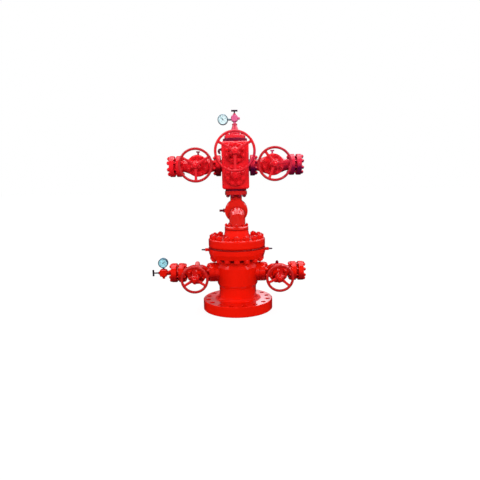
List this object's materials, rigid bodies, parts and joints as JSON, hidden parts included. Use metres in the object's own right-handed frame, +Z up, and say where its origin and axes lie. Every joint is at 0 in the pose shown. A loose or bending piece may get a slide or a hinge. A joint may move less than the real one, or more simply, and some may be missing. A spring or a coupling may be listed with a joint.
{
  "type": "oil wellhead valve stack",
  "caption": "Red flanged wellhead: tubing head on a drilled base flange, side valves with handwheels, elbow, and a block tree with wing valves, cap and gauges.",
  "frame": {"origin": "centre of the base flange's underside", "axes": "+Z up the well axis, X along the arms with +X to the right of someone who faces the handwheels, -Y towards the handwheels"},
  "size_m": [1.193, 0.5465, 1.549],
  "materials": {
    "red_paint": "glossy red enamel over castings",
    "wheel_paint": "glossy red enamel over cast handwheels",
    "pink_paint": "worn rose-pink paint",
    "dark_steel": "dark blued steel",
    "pale_knob": "pale plated cap",
    "gauge_case": "dull grey-teal case"
  },
  "bodies": {
    "wellhead": {"base_flange": "red_paint", "tubing_head_spool": "red_paint", "head_flange": "red_paint", "lockdown_screws": "dark_steel", "head_adapter": "red_paint", "elbow": "red_paint", "check_body": "red_paint", "check_spindle": "dark_steel", "valve_block": "red_paint", "upper_bonnet": "red_paint", "lower_bonnet": "red_paint", "bleed_fitting": "dark_steel", "upper_left_valve": "red_paint", "upper_left_bonnet": "red_paint", "upper_left_end_flange": "red_paint", "upper_right_valve": "red_paint", "upper_right_bonnet": "red_paint", "upper_right_end_flange": "red_paint", "lower_left_valve": "red_paint", "lower_left_bonnet": "red_paint", "lower_left_end_flange": "red_paint", "lower_right_valve": "red_paint", "lower_right_bonnet": "red_paint", "lower_right_end_flange": "red_paint", "upper_left_vent": "dark_steel", "upper_right_vent": "dark_steel", "lower_left_knob": "pale_knob", "lower_right_plug": "dark_steel", "cap_flange": "red_paint", "cap_nipple": "red_paint", "top_needle_valve": "pink_paint", "top_gauge": "gauge_case", "side_nipple": "red_paint", "side_needle_valve": "red_paint", "side_gauge": "gauge_case"},
    "centre_wheel": {"centre_handwheel": "wheel_paint"},
    "upper_left_wheel": {"upper_left_handwheel": "wheel_paint"},
    "upper_right_wheel": {"upper_right_handwheel": "wheel_paint"},
    "lower_left_wheel": {"lower_left_handwheel": "wheel_paint"},
    "lower_right_wheel": {"lower_right_handwheel": "wheel_paint"},
    "top_handle": {"top_needle_handle": "dark_steel"},
    "side_handle": {"side_needle_handle": "dark_steel"}
  },
  "joints": [
    {"name": "centre_wheel_turn", "type": "hinge", "parent": "wellhead", "child": "centre_wheel", "pos_m": [0, 0.16, 1.211], "axis": [0, -1, 0], "continuous": true},
    {"name": "upper_left_wheel_turn", "type": "hinge", "parent": "wellhead", "child": "upper_left_wheel", "pos_m": [-0.294, 0.16, 1.118], "axis": [0, -1, 0], "continuous": true},
    {"name": "upper_right_wheel_turn", "type": "hinge", "parent": "wellhead", "child": "upper_right_wheel", "pos_m": [0.294, 0.16, 1.118], "axis": [0, -1, 0], "continuous": true},
    {"name": "lower_left_wheel_turn", "type": "hinge", "parent": "wellhead", "child": "lower_left_wheel", "pos_m": [-0.312, 0, 0.288], "axis": [0, -1, 0], "continuous": true},
    {"name": "lower_right_wheel_turn", "type": "hinge", "parent": "wellhead", "child": "lower_right_wheel", "pos_m": [0.312, 0, 0.288], "axis": [0, -1, 0], "continuous": true},
    {"name": "top_handle_turn", "type": "hinge", "parent": "wellhead", "child": "top_handle", "pos_m": [0, 0.16, 1.482], "axis": [0, 0, 1], "continuous": true},
    {"name": "side_handle_turn", "type": "hinge", "parent": "wellhead", "child": "side_handle", "pos_m": [-0.583, 0, 0.288], "axis": [-1, 0, 0], "continuous": true}
  ]
}
